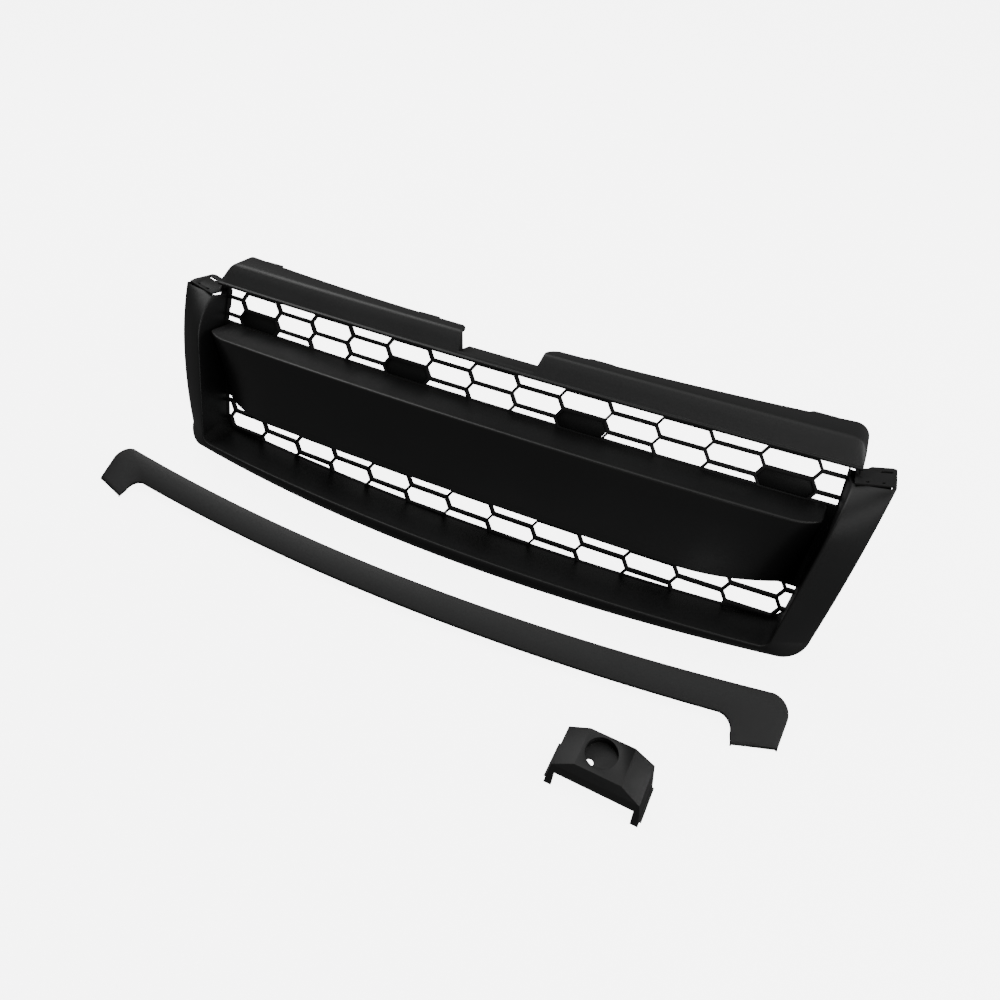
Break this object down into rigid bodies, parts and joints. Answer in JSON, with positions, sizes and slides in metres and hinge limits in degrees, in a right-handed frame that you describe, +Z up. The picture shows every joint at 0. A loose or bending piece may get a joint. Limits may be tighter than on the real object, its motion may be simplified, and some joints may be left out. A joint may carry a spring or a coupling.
{
  "type": "vehicle front grille",
  "caption": "Wide honeycomb vehicle front grille with deep centre bar, lipped top panel and U-shaped surround, with its loose nose trim strip and camera housing laid in front.",
  "frame": {"origin": "on the floor, at the centre of the foot pad of the middle rear leg", "axes": "+X along the width of the grille, to the right of someone facing its front; the front faces -Y; +Z is up, as it stands leaning back"},
  "size_m": [1.056, 0.4689, 0.257],
  "materials": {
    "black_moulding": "fine-grained matt black",
    "black_mesh": "matt black",
    "black_bracket": "matt black",
    "black_trim": "fine-grained matt black",
    "zinc_screw": "zinc plated",
    "spring_steel": "oiled spring steel",
    "soft_rubber": "matt black"
  },
  "bodies": {
    "grille": {"surround": "black_moulding", "top_panel": "black_moulding", "centre_bar": "black_moulding", "mesh_insert": "black_mesh", "mesh_blanks": "black_mesh", "left_post_bracket": "black_bracket", "right_post_bracket": "black_bracket", "rear_legs": "black_bracket", "panel_screws": "zinc_screw", "bar_screws": "zinc_screw", "rail_screws": "zinc_screw", "post_screws": "zinc_screw", "leg_screws": "zinc_screw", "panel_buffers": "soft_rubber", "leg_pads": "soft_rubber"},
    "trim_strip": {"trim_strip": "black_trim", "strip_clips": "spring_steel", "strip_pads": "soft_rubber"},
    "camera_housing": {"camera_housing": "black_trim", "housing_gasket": "soft_rubber", "camera_seat": "black_mesh", "housing_pegs": "black_bracket"}
  },
  "joints": [
    {"name": "strip_lift", "type": "slide", "parent": "grille", "child": "trim_strip", "axis": [0, 0, 1], "range_m": [0, 0.3]},
    {"name": "housing_lift", "type": "slide", "parent": "grille", "child": "camera_housing", "axis": [0, 0, 1], "range_m": [0, 0.3]}
  ]
}
